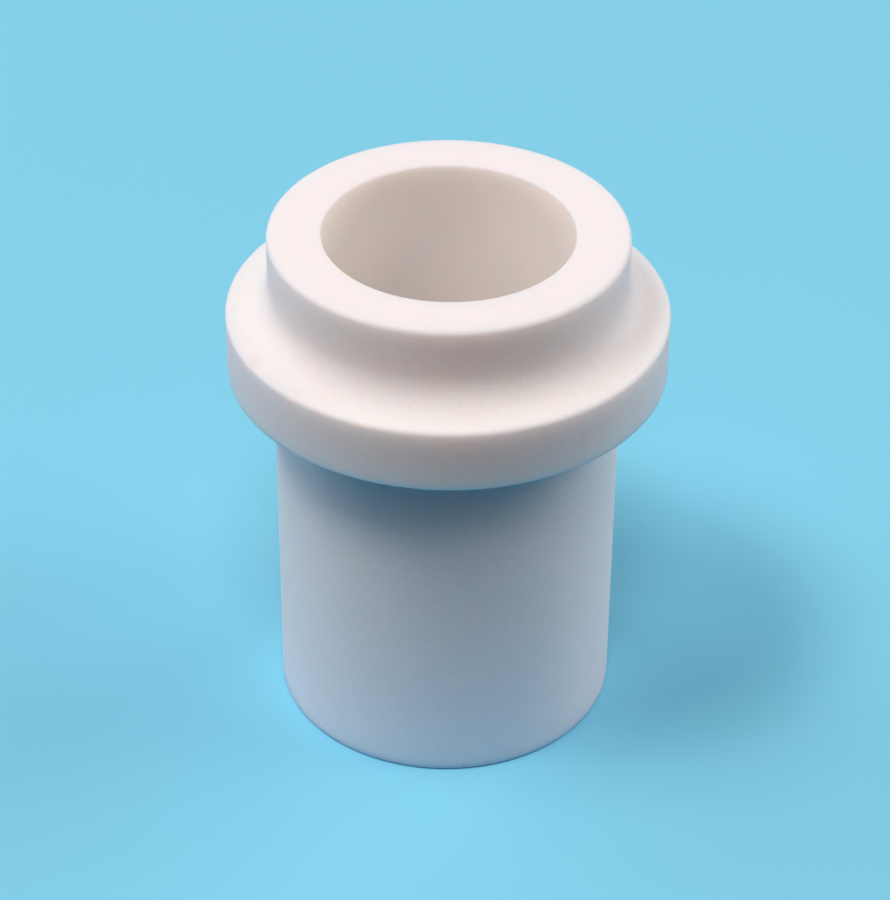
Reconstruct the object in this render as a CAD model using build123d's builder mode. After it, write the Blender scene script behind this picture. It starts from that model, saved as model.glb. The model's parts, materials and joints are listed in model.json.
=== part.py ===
from build123d import *
import os

# Flanged ceramic bushing, one solid of revolution with a plain bore right through.
# Millimetres. The axis is Z, the origin is the centre of the foot, and the bushing
# stands on its tube with the flange and the short neck on top.

# Diameters
bore_diameter = 22.6        # runs the whole height
tube_diameter = 31.6        # long shank that goes into the housing
flange_diameter = 40.0      # collar that stops on the housing's face
neck_diameter = 32.3        # short spigot above the flange, a little fatter than the tube

# Lengths along the axis
tube_length = 35.8          # foot to the flange's underside
flange_thickness = 6.0
neck_height = 7.7           # flange's upper face to the crown

# Rounded edges and corners
rim_round = 0.4             # outer rims of the neck and of the flange's upper face
neck_root_radius = 3.0      # hollow fillet where the neck meets the flange

# Small 45 degree edge breaks, each given by its leg
under_rim_break = 0.25      # flange's lower rim
tube_root_break = 0.4       # inner corner under the flange, where the tube meets it
foot_break = 0.3            # outer edge that the tube stands on
bore_mouth_break = 0.2      # both mouths of the bore
least_flat = 0.05           # flat left between two edge finishes on a narrow ledge

# Levels on the axis
foot_level = 0.0
seat_level = foot_level + tube_length
shoulder_level = seat_level + flange_thickness
crown_level = shoulder_level + neck_height

# Ledges that the flange leaves around the neck and around the tube
neck_ledge = (flange_diameter - neck_diameter) / 2
tube_ledge = (flange_diameter - tube_diameter) / 2

# An inner corner's finish is no wider than the ledge that carries it
neck_root = min(neck_root_radius, neck_ledge - rim_round - least_flat)
tube_root = min(tube_root_break, tube_ledge - under_rim_break - least_flat)

os.makedirs("parts", exist_ok=True)


def ring_edge(part, diameter, level):
    """The circular edge of that diameter at that level."""
    circles = part.edges().filter_by(GeomType.CIRCLE)
    at_level = circles.filter_by_position(Axis.Z, level - 0.001, level + 0.001)
    return at_level.filter_by(lambda edge: abs(edge.radius - diameter / 2) < 0.001)


with BuildPart() as bushing:
    # Half of the section, from the bore's wall outwards
    with BuildSketch(Plane.XZ) as half_section:
        with BuildLine() as outline:
            Polyline(
                (bore_diameter / 2, foot_level),
                (tube_diameter / 2, foot_level),
                (tube_diameter / 2, seat_level),
                (flange_diameter / 2, seat_level),
                (flange_diameter / 2, shoulder_level),
                (neck_diameter / 2, shoulder_level),
                (neck_diameter / 2, crown_level),
                (bore_diameter / 2, crown_level),
                close=True,
            )
        make_face()
    revolve(axis=Axis.Z)

    # Inner corners
    fillet(ring_edge(bushing, neck_diameter, shoulder_level), neck_root)
    chamfer(ring_edge(bushing, tube_diameter, seat_level), tube_root)

    # Outer rims
    fillet(ring_edge(bushing, neck_diameter, crown_level), rim_round)
    fillet(ring_edge(bushing, flange_diameter, shoulder_level), rim_round)
    chamfer(ring_edge(bushing, flange_diameter, seat_level), under_rim_break)
    chamfer(ring_edge(bushing, tube_diameter, foot_level), foot_break)

    # Mouths of the bore
    chamfer(ring_edge(bushing, bore_diameter, crown_level), bore_mouth_break)
    chamfer(ring_edge(bushing, bore_diameter, foot_level), bore_mouth_break)

bushing.part.label = "bushing"
export_step(bushing.part, "parts/bushing.step")
print(f"bushing: {bushing.part.volume / 1000:.3f} cm3, {crown_level:.1f} mm high")
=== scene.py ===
import json
import math
import bpy
import bmesh
from mathutils import Matrix, Vector


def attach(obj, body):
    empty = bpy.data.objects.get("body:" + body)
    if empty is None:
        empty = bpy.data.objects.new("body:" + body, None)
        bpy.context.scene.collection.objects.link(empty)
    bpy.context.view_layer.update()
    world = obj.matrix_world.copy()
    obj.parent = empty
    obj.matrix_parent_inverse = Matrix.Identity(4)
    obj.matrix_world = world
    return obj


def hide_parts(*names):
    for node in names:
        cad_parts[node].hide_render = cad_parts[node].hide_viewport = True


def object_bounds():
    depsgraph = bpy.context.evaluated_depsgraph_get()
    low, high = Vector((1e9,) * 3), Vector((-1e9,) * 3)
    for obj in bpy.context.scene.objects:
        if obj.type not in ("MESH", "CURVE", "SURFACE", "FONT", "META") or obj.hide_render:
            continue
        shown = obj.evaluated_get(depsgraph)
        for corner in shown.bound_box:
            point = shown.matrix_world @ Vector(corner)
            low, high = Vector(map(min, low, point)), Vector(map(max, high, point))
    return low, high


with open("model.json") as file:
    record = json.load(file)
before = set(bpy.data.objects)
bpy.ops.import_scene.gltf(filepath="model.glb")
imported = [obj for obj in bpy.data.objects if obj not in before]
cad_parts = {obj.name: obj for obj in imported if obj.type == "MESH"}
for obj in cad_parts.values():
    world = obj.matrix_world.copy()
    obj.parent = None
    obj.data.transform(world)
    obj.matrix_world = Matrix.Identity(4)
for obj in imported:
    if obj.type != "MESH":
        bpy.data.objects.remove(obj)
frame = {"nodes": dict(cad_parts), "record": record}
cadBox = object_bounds()
mm = 0.001
print("frame loaded:", ", ".join(sorted(frame["nodes"])))

# Sizes that the frame gives: radii from the fitted walls, levels from the flat faces
mounts = {m["name"]: m for m in frame["record"]["mounts"]}


def wallRadius(name):
    return mounts[name]["dims"]["r_mm"] * mm


def faceLevel(name):
    return mounts[name]["pos_m"][2]


bushing = {
    "name": "ceramic_bushing",
    "steps": 288,            # facets round the axis
    "arcSteps": 10,          # facets across a quarter round
    "rimRound": 0.4 * mm,    # outer rims of the neck and the flange's upper face
    "neckRoot": 3.0 * mm,    # hollow fillet at the foot of the neck
    "underRim": 0.12 * mm,   # flange's lower rim
    "tubeRoot": 0.4 * mm,    # inner corner under the flange
    "footEdge": 0.3 * mm,
    "boreMouth": 0.2 * mm,
    "support": 0.12 * mm,    # narrow band beside each round, which keeps the flats flat
}


# Section corners, anticlockwise from the bore's lower mouth: radius, level, size of the round
def sectionCorners(size):
    bore = wallRadius("shaft_bore")
    tube = wallRadius("housing_shank")
    neck = wallRadius("neck_spigot")
    flange = cadBox[1].x
    seat = faceLevel("flange_seat")
    shoulder = faceLevel("flange_shoulder")
    crown = faceLevel("crown_face")
    return [
        (bore, 0, size["boreMouth"]),
        (tube, 0, size["footEdge"]),
        (tube, seat, size["tubeRoot"]),
        (flange, seat, size["underRim"]),
        (flange, shoulder, size["rimRound"]),
        (neck, shoulder, size["neckRoot"]),
        (neck, crown, size["rimRound"]),
        (bore, crown, size["boreMouth"]),
    ]


# Rounds every right-angled corner with an arc and adds the support points on both sides
def roundedOutline(corners, size):
    outline = []
    for i, (r, z, radius) in enumerate(corners):
        here = Vector((r, z))
        before = (Vector(corners[i - 1][:2]) - here).normalized()
        after = (Vector(corners[(i + 1) % len(corners)][:2]) - here).normalized()
        centre = here + (before + after) * radius
        outline.append(here + before * (radius + size["support"]))
        for k in range(size["arcSteps"] + 1):
            angle = math.radians(90) * k / size["arcSteps"]
            outline.append(centre - after * radius * math.cos(angle) - before * radius * math.sin(angle))
        outline.append(here + after * (radius + size["support"]))
    return outline


def latheBushing(size):
    outline = roundedOutline(sectionCorners(size), size)
    mesh = bpy.data.meshes.new(size["name"])
    bm = bmesh.new()
    ring = [bm.verts.new((p.x, 0, p.y)) for p in outline]
    edges = [bm.edges.new((ring[i], ring[(i + 1) % len(ring)])) for i in range(len(ring))]
    bmesh.ops.spin(
        bm, geom=ring + edges, cent=(0, 0, 0), axis=(0, 0, 1),
        angle=math.radians(360), steps=size["steps"], use_merge=True,
    )
    bmesh.ops.recalc_face_normals(bm, faces=bm.faces)
    for face in bm.faces:
        face.smooth = True
    bm.to_mesh(mesh)
    bm.free()
    piece = bpy.data.objects.new(size["name"], mesh)
    bpy.context.scene.collection.objects.link(piece)
    return piece


# Adds a node. Each input is a plain value or the output of another node.
def addNode(tree, kind, inputs=None, **settings):
    node = tree.nodes.new(kind)
    for name, value in settings.items():
        setattr(node, name, value)
    for slot, value in (inputs or {}).items():
        if isinstance(value, bpy.types.NodeSocket):
            tree.links.new(value, node.inputs[slot])
        else:
            node.inputs[slot].default_value = value
    return node


def maths(tree, operation, a, b=0.0):
    return addNode(tree, "ShaderNodeMath", {0: a, 1: b}, operation=operation).outputs[0]


def mixColour(tree, amount, first, second):
    factor, a, b, result = 0, 6, 7, 2   # the colour sockets of a Mix node
    mix = addNode(tree, "ShaderNodeMix", {factor: amount, a: first, b: second}, data_type="RGBA")
    return mix.outputs[result]


# Noise of the pattern's feature size, spread about evenly from -1 to 1
def swing(tree, where, pattern, flat=False):
    kind = "1D" if flat else "3D"
    slot = "W" if flat else "Vector"
    noise = addNode(
        tree, "ShaderNodeTexNoise",
        {slot: where, "Scale": 1 / pattern["feature"], "Detail": pattern["detail"]},
        noise_dimensions=kind,
    )
    low, high = 0.25, 0.75   # nearly all of the noise lies between these
    return addNode(
        tree, "ShaderNodeMapRange",
        {"Value": noise.outputs[0], "From Min": low, "From Max": high, "To Min": -1.0, "To Max": 1.0},
    ).outputs[0]


ceramic = {
    "colour": (0.988, 0.909, 0.884, 1),   # warm white of sintered alumina
    "shade": (0.964, 0.877, 0.85, 1),     # the darker end of the mottling
    "paintedEndShade": (0.877, 0.849, 0.852, 1),   # the two end faces: darker, painted shade that dims the crown under the lamps
    "paintedBoreLight": (0.989, 0.914, 0.87, 1),     # the bore's wall: lighter and creamier, painted light that brightens the shade in the bore
    "roughness": 0.58,
    "roughnessSwing": 0.06,
    "shine": 0.2,                         # a matt skin reflects less than a ground one
    "ior": 1.6,
    "glow": 1.0,                          # share of the light that travels under the surface
    "glowDepth": (2.4, 1.8, 1.6),         # in glowScale, red goes deepest
    "glowScale": 1.0 * mm,
    "mottle": 0.5,                        # share of the shade where no pattern adds to it
    "cloud": {"feature": 5.0 * mm, "detail": 3.0, "share": 0.18},
    "grain": {"feature": 0.3 * mm, "detail": 3.0, "share": 0.7, "height": 3.5e-6},
    "ring": {"feature": 0.16 * mm, "detail": 2.0, "share": 0.08, "height": 0.5e-6},
    "pore": {
        "spacing": 2.2 * mm,
        "empty": 0.8,                     # share of the cells that hold no pinhole
        "reach": 0.07 * mm,
        "depth": 12e-6,
        "colour": (0.45, 0.38, 0.34, 1),
        "share": 0.5,
    },
}

paintedEndShadeEdge = 0.3 * mm   # the painted shade on the end faces fades out over this height of their rims
paintedBoreLightEdge = 0.2 * mm    # and the painted light in the bore over this width of its mouths
markCore = 0.3          # a mark is full inside this share of its reach
markRagged = 0.25       # and the grain makes its edge ragged by this share

# Marks of use: place and reach in mm along X, Y and Z, colour and how much it covers
marks = {
    "dark speck": {
        "place": (11.88, -10.94, 47.16),
        "reach": (0.2, 0.2, 0.2),
        "colour": (0.2, 0.2, 0.24, 1),
        "cover": 0.2,
    },
    "warm smudge": {
        "place": (-16.9, -9.5, 41.8),
        "reach": (1.0, 1.6, 0.6),
        "colour": (0.86, 0.68, 0.62, 1),
        "cover": 0.28,
    },
    "dusty streak": {
        "place": (11.66, -16.25, 38.5),
        "reach": (0.5, 0.5, 1.6),
        "colour": (0.6, 0.55, 0.54, 1),
        "cover": 0.14,
    },
    "small spot": {
        "place": (-17.72, -9.27, 40.34),
        "reach": (0.2, 0.2, 0.25),
        "colour": (0.4, 0.36, 0.36, 1),
        "cover": 0.25,
    },
}


# Goes smoothly from 0 to high as the value goes from start to end
def ramp(tree, value, start, end, high=1.0):
    return addNode(
        tree, "ShaderNodeMapRange",
        {"Value": value, "From Min": start, "From Max": end, "To Max": high},
        interpolation_type="SMOOTHSTEP",
    ).outputs[0]


def vectorMaths(tree, operation, a, b=(0, 0, 0)):
    return addNode(tree, "ShaderNodeVectorMath", {0: a, 1: b}, operation=operation).outputs


# Adds up patterns, each times its own share
def blend(tree, start, patterns):
    total = start
    for pattern, share in patterns:
        total = maths(tree, "ADD", total, maths(tree, "MULTIPLY", pattern, share))
    return total


# A spot round a place, with its edge roughened by the grain
def markSpot(tree, where, grain, mark):
    away = vectorMaths(tree, "SUBTRACT", where, Vector(mark["place"]) * mm)["Vector"]
    away = vectorMaths(tree, "DIVIDE", away, Vector(mark["reach"]) * mm)["Vector"]
    away = vectorMaths(tree, "LENGTH", away)["Value"]
    away = blend(tree, away, [(grain, markRagged)])
    return ramp(tree, away, 1.0, markCore, high=mark["cover"])


def ceramicMaterial(look, marks):
    material = bpy.data.materials.new("white_ceramic")
    material.use_nodes = True
    tree = material.node_tree
    shader = tree.nodes["Principled BSDF"]
    where = addNode(tree, "ShaderNodeTexCoord").outputs["Object"]
    axes = addNode(tree, "ShaderNodeSeparateXYZ", {0: where}).outputs

    # Distance along the turned section: radius on the flats, height on the walls
    squares = [maths(tree, "POWER", axes[i], 2.0) for i in (0, 1)]
    radius = maths(tree, "SQRT", maths(tree, "ADD", *squares))
    along = maths(tree, "ADD", radius, axes[2])

    cloud = swing(tree, where, look["cloud"])
    grain = swing(tree, where, look["grain"])
    ring = swing(tree, along, look["ring"], flat=True)

    # A few cells of a Voronoi pattern hold a pinhole at their centre
    pore = look["pore"]
    cells = addNode(tree, "ShaderNodeTexVoronoi", {"Vector": where, "Scale": 1 / pore["spacing"]}).outputs
    chance = addNode(tree, "ShaderNodeSeparateXYZ", {0: cells["Color"]}).outputs[0]
    hole = ramp(tree, cells["Distance"], pore["reach"] / pore["spacing"], 0.0)
    hole = maths(tree, "MULTIPLY", hole, maths(tree, "GREATER_THAN", chance, pore["empty"]))

    # Colour: mottling first, then the painted light in the bore, the painted shade on the end faces, the
    # pinholes and the marks
    mottle = blend(tree, look["mottle"], [
        (cloud, look["cloud"]["share"]),
        (grain, look["grain"]["share"]),
        (ring, look["ring"]["share"]),
    ])
    mottle = ramp(tree, mottle, 0.0, 1.0)
    colour = mixColour(tree, mottle, look["colour"], look["shade"])
    bore = wallRadius("shaft_bore")
    # Painted light: the bore's wall turns lighter and creamier, which brightens the shade in the bore
    paintedBoreLight = ramp(tree, radius, bore + paintedBoreLightEdge, bore)
    colour = mixColour(tree, paintedBoreLight, colour, look["paintedBoreLight"])
    # Painted shade: both end faces turn darker, which dims the crown under the lamps
    middle = faceLevel("crown_face") / 2
    fromMiddle = maths(tree, "ABSOLUTE", maths(tree, "SUBTRACT", axes[2], middle))
    paintedEndShade = ramp(tree, fromMiddle, middle - paintedEndShadeEdge, middle)
    colour = mixColour(tree, paintedEndShade, colour, look["paintedEndShade"])
    colour = mixColour(tree, maths(tree, "MULTIPLY", hole, pore["share"]), colour, pore["colour"])
    for mark in marks.values():
        colour = mixColour(tree, markSpot(tree, where, grain, mark), colour, mark["colour"])
    tree.links.new(colour, shader.inputs["Base Color"])

    swingHalf = look["roughnessSwing"] / 2
    rough = blend(tree, look["roughness"], [(cloud, swingHalf), (grain, swingHalf)])
    tree.links.new(rough, shader.inputs["Roughness"])

    height = blend(tree, 0.0, [
        (grain, look["grain"]["height"]),
        (ring, look["ring"]["height"]),
        (hole, -pore["depth"]),
    ])
    bump = addNode(tree, "ShaderNodeBump", {"Height": height, "Distance": 1.0, "Strength": 1.0})
    tree.links.new(bump.outputs[0], shader.inputs["Normal"])

    shader.inputs["Specular IOR Level"].default_value = look["shine"]
    shader.inputs["IOR"].default_value = look["ior"]
    shader.inputs["Subsurface Weight"].default_value = look["glow"]
    shader.inputs["Subsurface Radius"].default_value = look["glowDepth"]
    shader.inputs["Subsurface Scale"].default_value = look["glowScale"]
    return material


piece = latheBushing(bushing)
piece.data.materials.append(ceramicMaterial(ceramic, marks))
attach(piece, "root")
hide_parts("bushing")
print("bushing lathed:", len(piece.data.polygons), "faces")


# 1 for the rays that show a surface or the room, 0 for those that only light something
def showing(tree):
    path = addNode(tree, "ShaderNodeLightPath").outputs
    seen = maths(tree, "MAXIMUM", path["Is Camera Ray"], path["Is Glossy Ray"])
    return maths(tree, "MAXIMUM", seen, path["Is Transmission Ray"])


floorLook = {
    "size": 3.0,
    "colour": (0.224, 0.652, 0.852, 1),
    "bounce": (0.044, 0.402, 0.726, 1),   # what it throws back onto the bushing
    "roughness": 0.7,
    "shine": 0.0,
    "shadeFrom": -36 * mm,                # towards the camera the bounce fades out from here
    "shadeTo": -52 * mm,                  # to here
}


def paleFloor(look):
    half = look["size"] / 2
    corners = [(-half, -half, 0), (half, -half, 0), (half, half, 0), (-half, half, 0)]
    mesh = bpy.data.meshes.new("floor")
    mesh.from_pydata(corners, [], [(0, 1, 2, 3)])
    floor = bpy.data.objects.new("floor", mesh)
    bpy.context.scene.collection.objects.link(floor)
    material = bpy.data.materials.new("pale_sheet")
    material.use_nodes = True
    tree = material.node_tree
    shader = tree.nodes["Principled BSDF"]
    where = addNode(tree, "ShaderNodeTexCoord").outputs["Object"]
    depth = addNode(tree, "ShaderNodeSeparateXYZ", {0: where}).outputs[1]
    lit = ramp(tree, depth, look["shadeTo"], look["shadeFrom"])
    thrown = mixColour(tree, lit, (0, 0, 0, 1), look["bounce"])
    tree.links.new(mixColour(tree, showing(tree), thrown, look["colour"]), shader.inputs["Base Color"])
    shader.inputs["Roughness"].default_value = look["roughness"]
    shader.inputs["Specular IOR Level"].default_value = look["shine"]
    mesh.materials.append(material)


paleFloor(floorLook)

# Colours of the light, each with its brightest channel at 1
light = {
    "warm": (1, 0.882, 0.782),
    "cool": (0.943, 0.906, 1),
    "plain": (1, 0.933, 0.981),
}

# Level is how bright a white card that faces the lamp would render.
# Azimuth 0 is the camera's side and 90 is on its right. Spread is the angle that the lamp fills.
lamps = [
    {"name": "front_high", "azimuth": 0, "elevation": 64, "spread": 14, "level": 0.225, "light": "cool"},
    {"name": "front_mid", "azimuth": 0, "elevation": 50, "spread": 16, "level": 0.05, "light": "cool"},
    {"name": "front_low", "azimuth": 0, "elevation": 30, "spread": 26, "level": 0.024, "light": "cool"},
    {"name": "key_left", "azimuth": 300, "elevation": 64, "spread": 14, "level": 0.261, "light": "warm"},
    {"name": "key_side", "azimuth": 277, "elevation": 66, "spread": 16, "level": 0.178, "light": "warm"},
    {"name": "side_left", "azimuth": 270, "elevation": 38, "spread": 28, "level": 0.115, "light": "cool"},
    {"name": "side_right", "azimuth": 90, "elevation": 40, "spread": 28, "level": 0.247, "light": "warm"},
    {"name": "back_left", "azimuth": 225, "elevation": 55, "spread": 28, "level": 0.075, "light": "cool"},
    {"name": "low_left", "azimuth": 240, "elevation": 18, "spread": 26, "level": 0.183, "light": "plain"},
    {"name": "low_right", "azimuth": 120, "elevation": 18, "spread": 26, "level": 0.269, "light": "plain"},
]
lampDistance = 2.0


def softbox(lamp):
    azimuth = math.radians(lamp["azimuth"])
    elevation = math.radians(lamp["elevation"])
    place = lampDistance * Vector((
        math.sin(azimuth) * math.cos(elevation),
        -math.cos(azimuth) * math.cos(elevation),
        math.sin(elevation),
    ))
    radius = lampDistance * math.tan(math.radians(lamp["spread"]) / 2)
    data = bpy.data.lights.new(lamp["name"], "AREA")
    data.shape = "DISK"
    data.color = light[lamp["light"]]
    data.size = 2 * radius
    data.energy = math.pi ** 2 * (lampDistance ** 2 + radius ** 2) * lamp["level"]
    box = bpy.data.objects.new(lamp["name"], data)
    box.location = place
    box.rotation_mode = "QUATERNION"
    box.rotation_quaternion = (-place).to_track_quat("-Z", "Y")
    box.visible_camera = False
    bpy.context.scene.collection.objects.link(box)


for lamp in lamps:
    softbox(lamp)

room = {
    "backdrop": (0.6, 0.82, 0.92, 1),   # seen above the floor from low down
    "fill": (0.006, 0.006, 0.006, 1),   # what it adds to the light
}


def paleRoom(look):
    world = bpy.data.worlds.new("room")
    world.use_nodes = True
    tree = world.node_tree
    background = tree.nodes["Background"]
    colour = mixColour(tree, showing(tree), look["fill"], look["backdrop"])
    tree.links.new(colour, background.inputs["Color"])
    bpy.context.scene.world = world


paleRoom(room)
print("floor and lights in place")

# Camera where the photograph was taken, in the frame's metres and degrees
view = {
    "place": (0, -225.89 * mm, 190.21 * mm),
    "down": 36.087,
    "turn": -0.0425,
    "roll": 0.5186,
    "lens": 120.275,   # mm
    "sensor": 36,      # mm across
    "nearest": 0.01,
    "farthest": 20,
}


def photoCamera(look):
    down, turn, roll = (math.radians(look[k]) for k in ("down", "turn", "roll"))
    ahead = Vector((math.sin(turn) * math.cos(down), math.cos(turn) * math.cos(down), -math.sin(down)))
    level = Vector((math.cos(turn), -math.sin(turn), 0))
    upright = level.cross(ahead)
    right = level * math.cos(roll) + upright * math.sin(roll)
    up = upright * math.cos(roll) - level * math.sin(roll)
    data = bpy.data.cameras.new("camera")
    data.lens = look["lens"]
    data.sensor_width = look["sensor"]
    data.clip_start = look["nearest"]
    data.clip_end = look["farthest"]
    camera = bpy.data.objects.new("camera", data)
    turned = Matrix((right, up, -ahead)).transposed().to_4x4()
    camera.matrix_world = Matrix.Translation(look["place"]) @ turned
    bpy.context.scene.collection.objects.link(camera)
    return camera


bpy.context.scene.camera = photoCamera(view)
bpy.context.scene.view_settings.view_transform = "Standard"
print("camera set")
